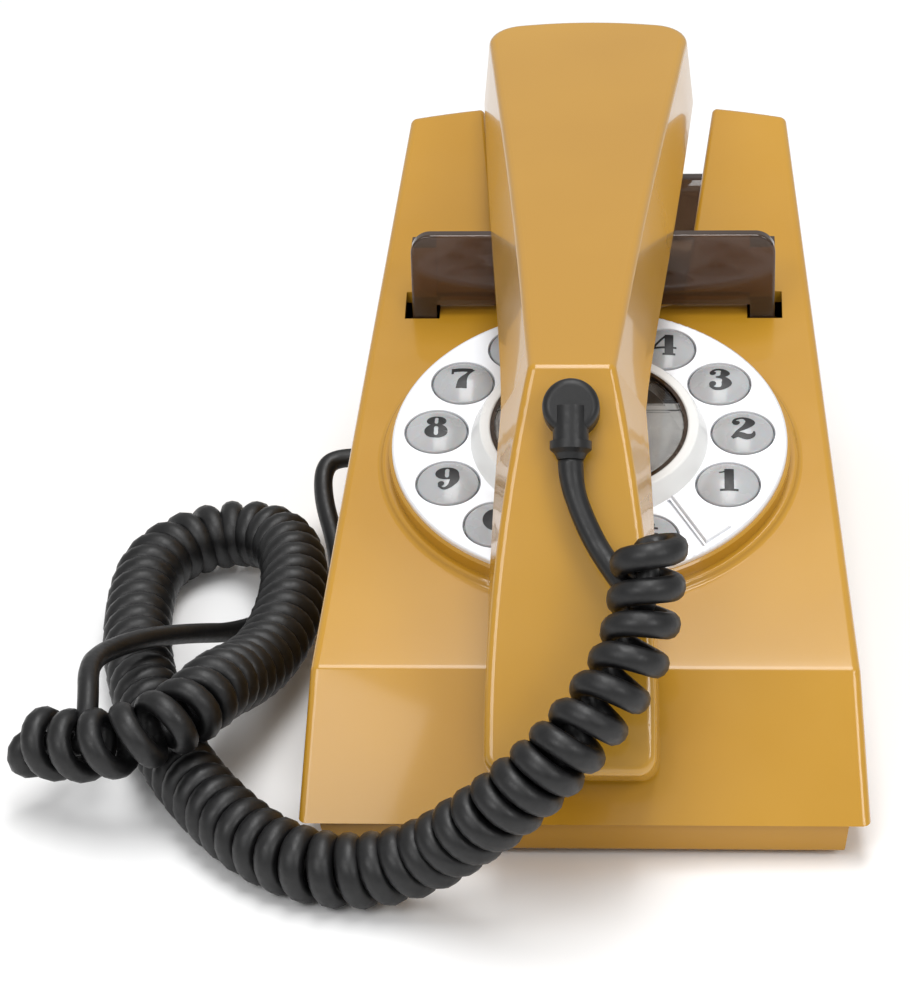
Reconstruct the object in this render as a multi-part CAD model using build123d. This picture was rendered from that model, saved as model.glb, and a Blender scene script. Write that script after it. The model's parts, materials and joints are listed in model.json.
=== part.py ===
from build123d import *
import math
import os

# A slimline desk telephone with a round push-button dial, a boomerang handset that hangs in the
# back of the case, and a curly cord.  Millimetres.  +X is to the right of a person using it,
# +Y is to the rear, +Z is up.  The origin is under the middle of the telephone, on the table.

# ---------------------------------------------------------------- driving dimensions: case
FOOT_FRONT_Y = -94.0          # lower front edge of the upper case
FOOT_REAR_Y = 105.0           # middle of the rear wall, which is upright and curved in plan
REAR_ARC_RADIUS = 174.0
CASE_BOTTOM_Z = 9.0           # underside of the upper case
RIDGE_Y, RIDGE_Z = -73.4, 33.0        # edge between the front face and the sloping top
TOP_REAR_Y, TOP_REAR_Z = 105.0, 82.86   # rear edge of the sloping top
HALF_WIDTH_AT_ORIGIN = 51.6  # half width of the case at y = 0, z = 0
PLAN_TAPER = 0.0584           # the half width lost per mm to the rear
SIDE_DRAFT = 0.0253           # the half width lost per mm of height
WALL = 2.5
EDGE_RADIUS = 1.8
# base plate and feet
BASE_BOTTOM_Z = 1.5
BASE_FLANGE_TOP_Z = 11.0
BASE_INSET_SIDE = 4.2
BASE_INSET_FRONT = 1.4
BASE_INSET_REAR = 4.0
BASE_SLANT = 1.0              # how far the sides of the base plate lean in at the bottom
FOOT_RADIUS = 7.0
FOOT_HEIGHT = 2.4
WALL_HOLE_SPACING = 100.0
WALL_HOLE_RADIUS = 4.0
# slot for the earpiece, open at the top and at the rear
SLOT_FRONT_Y = 34.0
SLOT_FLOOR_Z = 45.0
SLOT_HALF_AT_FRONT = 19.4
SLOT_SPREAD = 0.1064          # the half width gained per mm to the rear
SLOT_CORNER_RADIUS = 6.0
# hook bar
BAR_HALF = 39.8
BAR_FRONT_Y = 29.8
BAR_TOP_Z = 81.3
BAR_THICKNESS = 2.5
BAR_LEG_WIDTH = 5.4
BAR_LEG_DEPTH = 7.5
BAR_LEG_BOTTOM_Z = 50.0
BAR_LEG_TOP_DROP = 3.6        # the deep legs end this far below the blade's top
BAR_CORNER_RADIUS = 4.4
BAR_GAP = 2.6                 # between the blade's lower edge and the sloping top
BAR_RETURN = 1.6              # height of the lip along the blade's lower edge
BAR_RETURN_DEPTH = 4.6
# dial, in its own axes: u to the right, v up the slope, w off the slope
DIAL_UP_SLOPE = 61.7         # from the ridge to the middle of the dial
BOSS_RADIUS, BOSS_HEIGHT = 44.0, 1.2
DRUM_RADIUS = 42.3
DRUM_TOP = 4.3
PLATE_RADIUS, PLATE_THICKNESS = 41.6, 1.2
PLATE_TOP = DRUM_TOP + PLATE_THICKNESS
DIAL_OPENING_RADIUS = 40.0
KEY_CIRCLE_RADIUS = 32.3
KEY_STEP_DEGREES = 28.95
KEY_FIVE_DEGREES = 89.7
KEY_RADIUS = 6.4
KEY_DOME = 1.8
KEY_HOLE_RADIUS = 6.75
COLLAR_BASE_RADIUS, COLLAR_TOP_RADIUS, COLLAR_HEIGHT = 25.0, 22.9, 4.3
CARD_RING_RADIUS = 20.65
# carry handle across the slot, y and z of its section
HANDLE_FRONT_Y, HANDLE_REAR_Y = 92.0, 100.0
HANDLE_LOW_Z, HANDLE_HIGH_Z = 52.0, 67.0
# handset
KNEE_OUT = (-57.5, 92.3)      # y and z of the outer edge of the bend
KNEE_IN = (-50.1, 78.7)
MOUTH_OUT = (-104.5, 27.2)
EAR_OUT = (99.0, 100.1)
EAR_IN_Z = 84.1
MOUTH_THICKNESS = 17.0
HANDSET_WALL = 2.2
HANDSET_COVER = 3.0           # thickness of the inner shell
EAR_ARC_RADIUS = 75.8
HANDSET_REAR_Y = 110.0        # middle of the rounded earpiece end
HANDSET_X = -2.2              # the handset rests a little to the left
EAR_CORNER_RADIUS, MOUTH_CORNER_RADIUS = 8.5, 3.7
EARPIECE_Y, EARPIECE_RADIUS = 76.0, 19.0
# cord
COIL_DIAMETER = 14.5
LEAD_DIAMETER = 4.4
SOCKET_Y, SOCKET_Z = 46.0, 18.5       # the handset cord's socket in the left side

COIL_SHIFT_X, COIL_SHIFT_Y = -0.7, -3.7  # where the loose coil lies
TO_CENTRE_Y = -3.1            # puts the origin under the middle of the finished telephone

NODES = {}


def keep(name, shape):
    """Store one sub-part under its node name, moved to the row's origin."""
    NODES[name] = Pos(0, TO_CENTRE_Y, 0) * shape
    return shape


# ---------------------------------------------------------------- shared shapes
def half_width(y, z, inset=0.0):
    """Half width of the case's side planes at one place."""
    return HALF_WIDTH_AT_ORIGIN - PLAN_TAPER * y - SIDE_DRAFT * z - inset


def side_wedge(inset):
    """Everything between the two leaning side planes, moved inward by inset."""
    sections = []
    for z in (-60.0, 140.0):
        front = half_width(-160, z, inset)
        rear = half_width(160, z, inset)
        outline = Polyline((-front, -160), (front, -160), (rear, 160), (-rear, 160), close=True)
        sections.append(Pos(0, 0, z) * make_face(outline))
    return loft(sections, ruled=True)


def side_profile():
    """Side view of the case, drawn well below its real underside."""
    front_lean = (RIDGE_Y - FOOT_FRONT_Y) / (RIDGE_Z - CASE_BOTTOM_Z)
    rear_lean = (TOP_REAR_Y - FOOT_REAR_Y) / (TOP_REAR_Z - CASE_BOTTOM_Z)
    low = -40.0
    drop = CASE_BOTTOM_Z - low
    outline = Polyline(
        (0, FOOT_FRONT_Y - front_lean * drop, low),
        (0, RIDGE_Y, RIDGE_Z),
        (0, TOP_REAR_Y, TOP_REAR_Z),
        (0, FOOT_REAR_Y - rear_lean * drop, low),
        close=True,
    )
    return make_face(outline)


def rear_disc(inset):
    """Everything in front of the curved rear wall, moved inward by inset."""
    return Pos(0, FOOT_REAR_Y - REAR_ARC_RADIUS, 50) * Cylinder(REAR_ARC_RADIUS - inset, 300)


def across(face, half):
    """Extrude a side-view face both ways across the telephone."""
    return extrude(face, amount=half, dir=(1, 0, 0), both=True)


def box_between(low, high):
    """Axis-aligned box between two corners."""
    size = [b - a for a, b in zip(low, high)]
    middle = [(a + b) / 2 for a, b in zip(low, high)]
    return Pos(*middle) * Box(*size)


def turned(points):
    """Solid of revolution about Z from (radius, height) points."""
    outline = Polyline(*[(r, 0, z) for r, z in points], close=True)
    return revolve(make_face(outline), Axis.Z)


def post(x, y, low, high, radius):
    """Upright round post."""
    return Pos(x, y, (low + high) / 2) * Cylinder(radius, high - low)


def try_fillet(shape, edges, radii):
    """Round the edges with the first radius that the shape accepts."""
    for radius in radii:
        try:
            rounded = fillet(edges, radius)
            if rounded.is_valid:
                return rounded
        except Exception:
            continue
    print("no fillet of", radii, "was accepted")
    return shape


def slot_space(grow):
    """The earpiece slot, widened by grow, from its floor upward and out of the rear."""
    front_y = SLOT_FRONT_Y - grow
    rear_y = 140.0
    front = SLOT_HALF_AT_FRONT + grow
    rear = SLOT_HALF_AT_FRONT + SLOT_SPREAD * (rear_y - SLOT_FRONT_Y) + grow
    outline = Polyline((-front, front_y), (front, front_y), (rear, rear_y), (-rear, rear_y), close=True)
    prism = extrude(Pos(0, 0, SLOT_FLOOR_Z - grow) * make_face(outline), amount=90)
    corners = prism.edges().filter_by(Axis.Z).sort_by(Axis.Y)[:2]
    return fillet(corners, SLOT_CORNER_RADIUS)


SLOPE = math.atan2(TOP_REAR_Z - RIDGE_Z, TOP_REAR_Y - RIDGE_Y)
DIAL = Plane(
    origin=(0, RIDGE_Y + DIAL_UP_SLOPE * math.cos(SLOPE), RIDGE_Z + DIAL_UP_SLOPE * math.sin(SLOPE)),
    x_dir=(1, 0, 0),
    z_dir=(0, -math.sin(SLOPE), math.cos(SLOPE)),
)


def on_dial(shape, u=0.0, v=0.0, w=0.0):
    """Place a shape in the dial's axes."""
    return DIAL.location * Pos(u, v, w) * shape


def slope_z(y):
    """Height of the sloping top at y."""
    return RIDGE_Z + (y - RIDGE_Y) * math.tan(SLOPE)


KEY_NAMES = ["one", "two", "three", "four", "five", "six", "seven", "eight", "nine", "zero", "star", "hash"]


def key_place(index):
    """u and v of a key, counted from the one beside the finger stop."""
    angle = math.radians(KEY_FIVE_DEGREES + (index - 4) * KEY_STEP_DEGREES)
    return KEY_CIRCLE_RADIUS * math.cos(angle), KEY_CIRCLE_RADIUS * math.sin(angle)


# ---------------------------------------------------------------- upper case
POST_RADIUS, POST_HOLE_RADIUS = 4.0, 1.3
POST_TOP_DEPTH = 2.0          # the posts end inside the skin of the sloping top
CASE_POSTS = [(-40.0, -58.0), (40.0, -58.0), (-32.0, 66.0), (32.0, 66.0)]


def make_upper_case():
    outer = across(side_profile(), 80) & side_wedge(0) & rear_disc(0)
    outer = try_fillet(outer, outer.edges(), [EDGE_RADIUS, 1.5, 1.2])
    boss = on_dial(Cylinder(BOSS_RADIUS, BOSS_HEIGHT + 6), w=BOSS_HEIGHT / 2 - 3)
    boss_rim = boss.edges().filter_by(GeomType.CIRCLE).sort_by(Axis.Z)[-1]
    outer = outer + try_fillet(boss, [boss_rim], [0.8])
    foot_ring = [e for e in outer.edges().filter_by(GeomType.CIRCLE) if abs(e.radius - BOSS_RADIUS) < 0.05]
    outer = try_fillet(outer, foot_ring, [1.0, 0.7, 0.4])
    outer = outer - slot_space(0)
    rim = [e for e in outer.edges() if slot_rim_edge(e)]
    outer = try_fillet(outer, rim, [1.2, 0.8, 0.5])
    inner = across(offset(side_profile(), amount=-WALL, kind=Kind.INTERSECTION), 80) & side_wedge(WALL)
    inner = inner & rear_disc(WALL)
    inner = inner - slot_space(WALL)
    shell = outer - inner
    for x, y in CASE_POSTS:
        column = post(x, y, BASE_FLANGE_TOP_Z, slope_z(y) - POST_TOP_DEPTH, POST_RADIUS)
        shell = shell + column
    shell = shell & box_between((-100, -140, CASE_BOTTOM_Z), (100, 140, 120))
    for x, y in CASE_POSTS:
        shell = shell - post(x, y, BASE_FLANGE_TOP_Z - 1, BASE_FLANGE_TOP_Z + 12, POST_HOLE_RADIUS)
    shell = shell - on_dial(Cylinder(DIAL_OPENING_RADIUS, 40), w=-14)
    for side in (-1, 1):
        gap = box_between((BAR_HALF - BAR_LEG_WIDTH - 0.6, BAR_FRONT_Y - 0.6, 40),
                          (BAR_HALF + 1.7, BAR_FRONT_Y + BAR_LEG_DEPTH + 0.6, 100))
        if side < 0:
            gap = mirror(gap, about=Plane.YZ)
        shell = shell - gap
    shell = shell - box_between((-80, SOCKET_Y - 6.2, SOCKET_Z - 6.2), (-40, SOCKET_Y + 6.2, SOCKET_Z + 6.2))
    shell = shell - box_between((LINE_X - 6.2, 90, SOCKET_Z - 6.2), (LINE_X + 6.2, 120, SOCKET_Z + 6.2))
    shell = shell - box_between((30, SWITCH_Y - 6.5, SWITCH_Z - 1.7), (80, SWITCH_Y + 6.5, SWITCH_Z + 1.7))
    return shell


def slot_rim_edge(edge):
    """True for the edges where the earpiece slot breaks out of the sloping top."""
    middle = edge @ 0.5
    half = SLOT_HALF_AT_FRONT + SLOT_SPREAD * (middle.Y - SLOT_FRONT_Y)
    on_top = abs(middle.Z - slope_z(middle.Y)) < 0.05
    near_slot = abs(middle.X) < half + 0.3 and middle.Y > SLOT_FRONT_Y - 0.3
    return on_top and near_slot and edge.length > 2


LINE_X = 24.0                 # the line cord's socket in the rear wall
SWITCH_Y, SWITCH_Z = 10.0, 17.0       # the ringer volume switch in the right side
keep("upper_case", make_upper_case())


# ---------------------------------------------------------------- base plate, feet, screws
def base_outline(front_y, rear_y, inset, z):
    """Plan outline that follows the case, moved inward."""
    front = half_width(front_y, z, inset)
    rear = half_width(rear_y, z, inset)
    outline = Polyline((-front, front_y), (front, front_y), (rear, rear_y), (-rear, rear_y), close=True)
    return Pos(0, 0, z) * make_face(outline)


FEET = [(-38.0, -76.0), (38.0, -76.0), (-31.0, 87.0), (31.0, 87.0)]
SPRING_X, SPRING_Y = 37.1, 34.9
SPRING_FOOT_Z = 36.0


def make_base_plate():
    low = base_outline(FOOT_FRONT_Y + BASE_INSET_FRONT + BASE_SLANT, FOOT_REAR_Y,
                       BASE_INSET_SIDE + BASE_SLANT, BASE_BOTTOM_Z)
    high = base_outline(FOOT_FRONT_Y + BASE_INSET_FRONT, FOOT_REAR_Y, BASE_INSET_SIDE, CASE_BOTTOM_Z)
    tray = loft([low, high], ruled=True) & rear_disc(BASE_INSET_REAR)
    tray = try_fillet(tray, tray.edges().sort_by(Axis.Z)[:4], [1.0, 0.6])
    flange = extrude(base_outline(FOOT_FRONT_Y + 5.6, FOOT_REAR_Y, WALL + 0.4, CASE_BOTTOM_Z),
                     amount=BASE_FLANGE_TOP_Z - CASE_BOTTOM_Z)
    plate = tray + (flange & rear_disc(WALL + 0.4))
    room = extrude(base_outline(FOOT_FRONT_Y + 9.5, FOOT_REAR_Y, 11.5, BASE_BOTTOM_Z + 2.5), amount=20)
    plate = plate - (room & rear_disc(9.5))
    for x, y in CASE_POSTS:
        plate = plate + post(x, y, BASE_BOTTOM_Z + 0.5, BASE_FLANGE_TOP_Z, 5.5)
    for x, y in CASE_POSTS:
        plate = plate - post(x, y, -5, BASE_FLANGE_TOP_Z + 1, 1.7)
        plate = plate - post(x, y, -5, 4.6, 3.4)
    for side in (-1, 1):
        plate = plate + post(side * SPRING_X, SPRING_Y, BASE_BOTTOM_Z + 1, SPRING_FOOT_Z, 3.4)
        plate = plate - post(0, side * WALL_HOLE_SPACING / 2, -5, 12, WALL_HOLE_RADIUS)
    for x, y in FEET:
        plate = plate - post(x, y, 0, FOOT_HEIGHT, FOOT_RADIUS + 0.15)
    return plate


keep("base_plate", make_base_plate())

for corner, (x, y) in zip(("front_left", "front_right", "rear_left", "rear_right"), FEET):
    foot = post(x, y, 0, FOOT_HEIGHT, FOOT_RADIUS)
    keep("rubber_foot_" + corner, fillet(foot.edges().sort_by(Axis.Z)[0], 0.7))

for corner, (x, y) in zip(("front_left", "front_right", "rear_left", "rear_right"), CASE_POSTS):
    screw = post(x, y, 2.4, 4.6, 3.2) + post(x, y, 4.6, 20, 1.25)
    screw = screw - box_between((x - 2.2, y - 0.4, 2.3), (x + 2.2, y + 0.4, 3.3))
    keep("case_screw_" + corner, screw - box_between((x - 0.4, y - 2.2, 2.3), (x + 0.4, y + 2.2, 3.3)))

# ---------------------------------------------------------------- pieces inside the case
FLOOR_Z = BASE_BOTTOM_Z + 2.5
BOARD_TOP_Z, BOARD_THICKNESS = 15.6, 1.6
ballast = box_between((-30, -12, FLOOR_Z), (30, 25, FLOOR_Z + 5))
keep("ballast_plate", fillet(ballast.edges().filter_by(Axis.Z), 3))


def make_main_board():
    """Circuit board on four short pillars, with blocks and drums for its components."""
    board = box_between((-34, -76, BOARD_TOP_Z - BOARD_THICKNESS), (34, -18, BOARD_TOP_Z))
    for x in (-30, 30):
        for y in (-72, -22):
            board = board + post(x, y, FLOOR_Z, BOARD_TOP_Z - BOARD_THICKNESS, 2.5)
    # x, y, width, depth and height of each block-shaped component
    blocks = [(-24, -60, 14, 14, 9), (-4, -62, 20, 10, 5), (20, -60, 12, 16, 11), (-20, -36, 18, 8, 4)]
    for x, y, wide, deep, tall in blocks:
        board = board + Pos(x, y, BOARD_TOP_Z + tall / 2) * Box(wide, deep, tall)
    for x, y in ((6, -38), (16, -36), (26, -38)):
        board = board + post(x, y, BOARD_TOP_Z, 26, 3.6)
    return board


keep("main_board", make_main_board())
ringer = turned([(0, FLOOR_Z), (15, FLOOR_Z), (15, 15), (13, 17.5), (3, 17.5), (3, 16), (0, 16)])
keep("ringer", Pos(-6, 74, 0) * ringer)


def make_modular_socket():
    """Socket block opening toward -X, with its mouth at x = 0."""
    block = box_between((0, -6, -6), (14, 6, 6))
    block = block - box_between((-1, -4, -3.6), (11.5, 4, 3.6))
    return block - box_between((-1, -1.8, -5.2), (8, 1.8, -3))


left_wall_x = -half_width(SOCKET_Y, SOCKET_Z)
keep("handset_socket", Pos(left_wall_x + 0.7, SOCKET_Y, SOCKET_Z) * make_modular_socket())
rear_wall_y = FOOT_REAR_Y - (LINE_X + 6) ** 2 / (2 * REAR_ARC_RADIUS)
keep("line_socket", Pos(LINE_X, rear_wall_y - 0.7, SOCKET_Z) * Rot(0, 0, -90) * make_modular_socket())

right_wall_x = half_width(SWITCH_Y, SWITCH_Z)
knob = box_between((right_wall_x - 5.5, SWITCH_Y - 5.5, SWITCH_Z - 1.3),
                   (right_wall_x + 1.3, SWITCH_Y + 0.5, SWITCH_Z + 1.3))
for groove in range(3):
    y = SWITCH_Y - 4.0 + 1.5 * groove
    knob = knob - Pos(right_wall_x + 1.4, y, SWITCH_Z) * Box(1.2, 0.6, 4)
keep("ringer_switch", knob)
keep("ringer_switch_body", box_between((right_wall_x - 12, SWITCH_Y - 8, SWITCH_Z - 4),
                                       (right_wall_x - 5.8, SWITCH_Y + 8, SWITCH_Z + 4)))


# ---------------------------------------------------------------- hook bar and what it works
def make_hook_bar():
    """Arch that the handset rests on: a blade with two deep legs and a small lower lip."""
    low = BAR_LEG_BOTTOM_Z
    arch = box_between((-BAR_HALF, BAR_FRONT_Y, low), (BAR_HALF, BAR_FRONT_Y + BAR_LEG_DEPTH, BAR_TOP_Z))
    arch = fillet(arch.edges().filter_by(Axis.Y).sort_by(Axis.Z)[-2:], BAR_CORNER_RADIUS)
    span = BAR_HALF - BAR_LEG_WIDTH
    under_z = slope_z(BAR_FRONT_Y) + BAR_GAP
    arch = arch - box_between((-span, BAR_FRONT_Y - 1, low - 1), (span, BAR_FRONT_Y + 20, under_z))
    arch = arch - box_between((-span, BAR_FRONT_Y + BAR_THICKNESS, under_z + BAR_RETURN),
                              (span, BAR_FRONT_Y + 20, BAR_TOP_Z + 1))
    arch = arch - box_between((-span, BAR_FRONT_Y + BAR_RETURN_DEPTH, low),
                              (span, BAR_FRONT_Y + 20, BAR_TOP_Z + 1))
    arch = arch - box_between((-BAR_HALF - 1, BAR_FRONT_Y + BAR_THICKNESS, BAR_TOP_Z - BAR_LEG_TOP_DROP),
                              (BAR_HALF + 1, BAR_FRONT_Y + 20, BAR_TOP_Z + 1))
    front_edges = [e for e in arch.edges()
                   if abs((e @ 0.5).Y - BAR_FRONT_Y) < 0.01 and (e @ 0.5).Z > under_z - 0.5]
    return try_fillet(arch, front_edges, [0.6, 0.4, 0.3])


keep("hook_bar", make_hook_bar())


def make_spring():
    """Compression spring with closed ends, standing on Z."""
    wire = 0.25
    height = BAR_LEG_BOTTOM_Z - SPRING_FOOT_Z - 2 * wire
    coil = Helix(pitch=height / 6, height=height, radius=2.0)
    start = Plane(origin=coil @ 0, z_dir=coil % 0)
    return Pos(0, 0, SPRING_FOOT_Z + wire) * sweep(start * Circle(wire), path=coil, is_frenet=True)


for name, side in (("left", -1), ("right", 1)):
    keep("hook_spring_" + name, Pos(side * SPRING_X, SPRING_Y, 0) * make_spring())

tower = box_between((24, 28, FLOOR_Z), (30, 35, 40)) + box_between((23, 27, 36), (32, 36, 46))
keep("hook_switch", tower + box_between((29, 30.2, 46), (39, 31.8, 47)) + post(37.5, 31.0, 47, 48.6, 0.7))


# ---------------------------------------------------------------- carry handle
def make_carry_handle():
    """Rounded bar from one wall of the slot to the other."""
    bar = box_between((-40, HANDLE_FRONT_Y, HANDLE_LOW_Z), (40, HANDLE_REAR_Y, HANDLE_HIGH_Z))
    long_edges = bar.edges().filter_by(Axis.X).sort_by(Axis.Z)
    bar = fillet(long_edges[-2:], 3.2)
    bar = fillet(bar.edges().filter_by(Axis.X).sort_by(Axis.Z)[:2], 1.5)
    return bar & slot_space(0)


keep("carry_handle", make_carry_handle())


# ---------------------------------------------------------------- dial
def make_dial_surround():
    spigot = DIAL_OPENING_RADIUS - 0.3
    bevel = 0.4
    return turned([(38.6, -7), (spigot, -7), (spigot, BOSS_HEIGHT), (DRUM_RADIUS, BOSS_HEIGHT),
                   (DRUM_RADIUS, DRUM_TOP - bevel), (DRUM_RADIUS - bevel, DRUM_TOP), (40.4, DRUM_TOP),
                   (40.4, BOSS_HEIGHT), (38.6, BOSS_HEIGHT)])


def make_dial_plate():
    plate = Pos(0, 0, DRUM_TOP + PLATE_THICKNESS / 2) * Cylinder(PLATE_RADIUS, PLATE_THICKNESS)
    plate = try_fillet(plate, [plate.edges().filter_by(GeomType.CIRCLE).sort_by(Axis.Z)[-1]], [0.6])
    plate = plate - Cylinder(17.5, 40)
    for index in range(12):
        u, v = key_place(index)
        plate = plate - Pos(u, v, 0) * Cylinder(KEY_HOLE_RADIUS, 40)
        plate = plate - Pos(u, v, PLATE_TOP) * Cone(KEY_HOLE_RADIUS, KEY_HOLE_RADIUS + 0.3, 0.6)
    groove = Polyline((16.3, -19.1), (17.0, -18.7), (24.2, -32.4), (23.5, -32.8), close=True)
    return plate - Pos(0, 0, PLATE_TOP - 0.7) * extrude(make_face(groove), amount=2)


def make_finger_stop():
    """Low moulded wedge beside the groove, between the first and the last key."""
    outline = make_face(Polyline((17.3, -18.2), (24.4, -31.7), (29.5, -27.0), (26.9, -25.9), (22.3, -22.2),
                                 (18.3, -17.6), close=True))
    wedge = Pos(0, 0, PLATE_TOP) * extrude(outline, amount=0.7)
    return try_fillet(wedge, wedge.edges().group_by(Axis.Z)[-1], [0.35, 0.2])


def make_collar():
    top = PLATE_TOP + COLLAR_HEIGHT
    seat = PLATE_TOP + 2.0
    ring = turned([(17.5, PLATE_TOP), (COLLAR_BASE_RADIUS, PLATE_TOP), (COLLAR_TOP_RADIUS, top),
                   (CARD_RING_RADIUS + 0.05, top), (CARD_RING_RADIUS + 0.05, seat), (17.5, seat)])
    rims = [e for e in ring.edges().filter_by(GeomType.CIRCLE) if e.center().Z > top - 0.01]
    return try_fillet(ring, rims, [0.5, 0.3])


def make_key():
    """Round push button: domed head, flange under the plate and a short stem."""
    sphere_radius = (KEY_RADIUS**2 + KEY_DOME**2) / (2 * KEY_DOME)
    crown = PLATE_TOP + KEY_DOME
    head = Pos(0, 0, (4.0 + crown) / 2) * Cylinder(KEY_RADIUS, crown - 4.0)
    head = head & Pos(0, 0, crown - sphere_radius) * Sphere(sphere_radius)
    edge = [e for e in head.edges().filter_by(GeomType.CIRCLE) if e.center().Z > PLATE_TOP - 0.3]
    head = try_fillet(head, edge, [0.5, 0.3])
    flange = Pos(0, 0, 3.4) * Cylinder(7.2, 1.2)
    return head + flange + Pos(0, 0, 2.4) * Cylinder(3.0, 0.8)


def make_membrane():
    sheet = Pos(0, 0, -0.7) * Cylinder(38.2, 1.0)
    for index in range(12):
        u, v = key_place(index)
        sheet = sheet + Pos(u, v, 0.1) * Cylinder(3.6, 1.0)
    return sheet


keep("dial_surround", on_dial(make_dial_surround()))
keep("dial_plate", on_dial(make_dial_plate()))
keep("finger_stop", on_dial(make_finger_stop()))
keep("centre_collar", on_dial(make_collar()))
card_seat = PLATE_TOP + 2.0
card_ring = turned([(19.9, card_seat), (CARD_RING_RADIUS, card_seat), (CARD_RING_RADIUS, card_seat + 2.1),
                    (19.9, card_seat + 2.1)])
keep("card_ring", on_dial(card_ring))
keep("number_card", on_dial(Cylinder(19.8, 0.5), w=card_seat + 0.25))
card_cover = Cylinder(19.8, 1.3)
card_cover = fillet(card_cover.edges().filter_by(GeomType.CIRCLE).sort_by(Axis.Z)[-1], 0.5)
keep("card_cover", on_dial(card_cover, w=card_seat + 1.15))
keep("keypad_membrane", on_dial(make_membrane()))
keep("keypad_board", on_dial(Cylinder(38.2, 1.6), w=-2.0))
one_key = make_key()
for index, name in enumerate(KEY_NAMES):
    u, v = key_place(index)
    keep("key_" + name, on_dial(one_key, u, v))


# ---------------------------------------------------------------- handset
DOWN = Vector(0, MOUTH_OUT[0] - KNEE_OUT[0], MOUTH_OUT[1] - KNEE_OUT[1])
LOWER_LENGTH = DOWN.length
DOWN = DOWN.normalized()                        # along the lower run, toward the mouthpiece
OUT = Vector(0, DOWN.Z, -DOWN.Y)                # off the outer face of the lower run
UPPER_OUT_SLOPE = (EAR_OUT[1] - KNEE_OUT[1]) / (EAR_OUT[0] - KNEE_OUT[0])
UPPER_IN_SLOPE = (EAR_IN_Z - KNEE_IN[1]) / (EAR_OUT[0] - KNEE_IN[0])
# y, half width of the outer face, half width of the inner face
UPPER_STATIONS = [(-8.0, 12.2, 17.0), (38.0, 16.4, 20.4), (74.0, 20.1, 22.8), (113.0, 24.0, 25.2)]
# distance down the lower run, half widths as above
LOWER_STATIONS = [(26.0, 13.0, 15.9), (LOWER_LENGTH, 16.6, 17.3)]


def trapezoid(out_point, out_half, in_point, in_half):
    """Section of the handset between one outer and one inner point of its side view."""
    oy, oz = out_point
    iy, iz = in_point
    outer = [(-out_half, oy, oz), (out_half, oy, oz)]
    inner = [(in_half, iy, iz), (-in_half, iy, iz)]
    return make_face(Polyline(*outer, *inner, close=True))


def inner_point(distance):
    """Inner point of the lower run at a distance down from the bend."""
    knee = Vector(0, KNEE_IN[0] - KNEE_OUT[0], KNEE_IN[1] - KNEE_OUT[1])
    start = knee.dot(DOWN)
    thickness = -knee.dot(OUT)
    thickness = thickness + (MOUTH_THICKNESS - thickness) * (distance - start) / (LOWER_LENGTH - start)
    place = Vector(0, *KNEE_OUT) + DOWN * distance - OUT * thickness
    return place.Y, place.Z


def knee_section(inset):
    drop = Vector(0, KNEE_IN[0] - KNEE_OUT[0], KNEE_IN[1] - KNEE_OUT[1]).normalized() * inset
    return trapezoid((KNEE_OUT[0] + drop.Y, KNEE_OUT[1] + drop.Z), 8.3 - inset, KNEE_IN, 14.5 - inset)


def upper_section(y, out_half, in_half, inset):
    out_z = KNEE_OUT[1] + (y - KNEE_OUT[0]) * UPPER_OUT_SLOPE - inset
    in_z = KNEE_IN[1] + (y - KNEE_IN[0]) * UPPER_IN_SLOPE
    return trapezoid((y, out_z), out_half - inset, (y, in_z), in_half - inset)


def lower_section(distance, out_half, in_half, inset):
    out_place = Vector(0, *KNEE_OUT) + DOWN * distance - OUT * inset
    return trapezoid((out_place.Y, out_place.Z), out_half - inset, inner_point(distance), in_half - inset)


def ear_end(inset):
    """Plan shape that rounds off the earpiece end, as an upright prism."""
    middle_y = HANDSET_REAR_Y - inset - EAR_ARC_RADIUS
    disc = Pos(0, middle_y, 90) * Cylinder(EAR_ARC_RADIUS, 120)
    return disc + box_between((-60, -150, 30), (60, middle_y, 150))


def handset_body(inset):
    upper = [knee_section(inset)] + [upper_section(y, a, b, inset) for y, a, b in UPPER_STATIONS]
    lower = [knee_section(inset)] + [lower_section(s, a, b, inset) for s, a, b in LOWER_STATIONS]
    top = loft(upper) & ear_end(inset)
    leg = loft(lower)
    if inset:
        cut = Vector(0, *MOUTH_OUT) - DOWN * inset
        keep_plane = Plane(origin=(0, cut.Y, cut.Z), x_dir=(1, 0, 0), z_dir=(0, DOWN.Y, DOWN.Z))
        leg = split(leg, bisect_by=keep_plane, keep=Keep.BOTTOM)
    return top + leg


def cover_band(thickness):
    """Side-view band along the inner face, which the inner shell takes up."""
    rear_y = 120.0
    rear_z = KNEE_IN[1] + (rear_y - KNEE_IN[0]) * UPPER_IN_SLOPE
    low = inner_point(LOWER_LENGTH + 12)
    line = [(0, rear_y, rear_z), (0, *KNEE_IN), (0, low[0], low[1])]
    shift_top = Vector(0, 0, thickness)
    shift_leg = OUT * thickness
    corner_in = Vector(0, *KNEE_OUT) - Vector(0, *KNEE_IN)
    shift_knee = corner_in.normalized() * thickness * 1.12
    back = [Vector(*line[2]) + shift_leg, Vector(*line[1]) + shift_knee, Vector(*line[0]) + shift_top]
    below = [Vector(0, rear_y, rear_z - 20), Vector(0, KNEE_IN[0] + 14, KNEE_IN[1] - 20),
             Vector(*line[2]) - OUT * 20]
    outline = Polyline(*back, *below, close=True)
    return across(make_face(outline), 40)


def side_view_edge(edge):
    """True for the edges that bound the outer faces of the handset."""
    middle = edge @ 0.5
    on_upper = abs(middle.Z - (KNEE_OUT[1] + (middle.Y - KNEE_OUT[0]) * UPPER_OUT_SLOPE)) < 0.05
    on_lower = abs((middle - Vector(0, *KNEE_OUT)).dot(OUT)) < 0.05
    return on_upper or on_lower


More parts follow.
